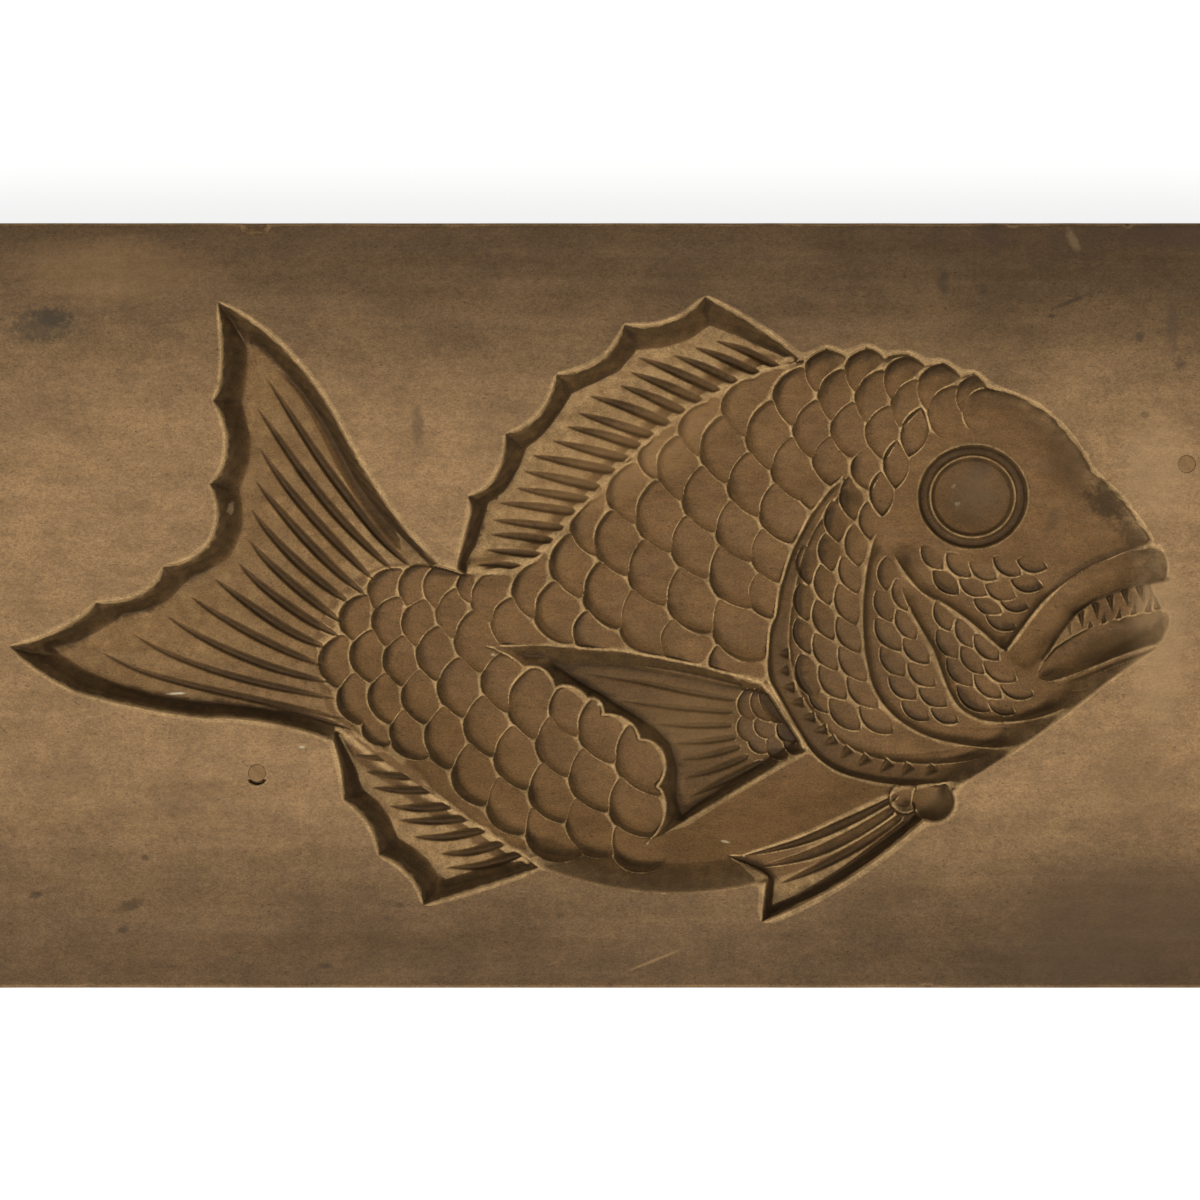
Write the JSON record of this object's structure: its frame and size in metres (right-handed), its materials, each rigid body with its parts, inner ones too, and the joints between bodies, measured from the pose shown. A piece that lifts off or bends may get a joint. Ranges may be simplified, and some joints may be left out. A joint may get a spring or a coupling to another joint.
{
  "type": "wooden cake mould",
  "caption": "Thick wooden plank with a sea bream carved into one face, for pressing sweets, with small round wooden pegs set flush.",
  "frame": {"origin": "middle of the underside", "axes": "+Z out of the carved face, +X along the grain towards the fish's head, +Y towards its back fin"},
  "size_m": [0.42, 0.24, 0.045],
  "materials": {
    "cherry_plank": "hand carved, darkened by use, satin",
    "peg_wood": "end grain, darkened by use"
  },
  "bodies": {
    "root": {"carved_board": "cherry_plank", "register_peg_lower": "peg_wood", "register_peg_upper": "peg_wood"}
  },
  "joints": []
}
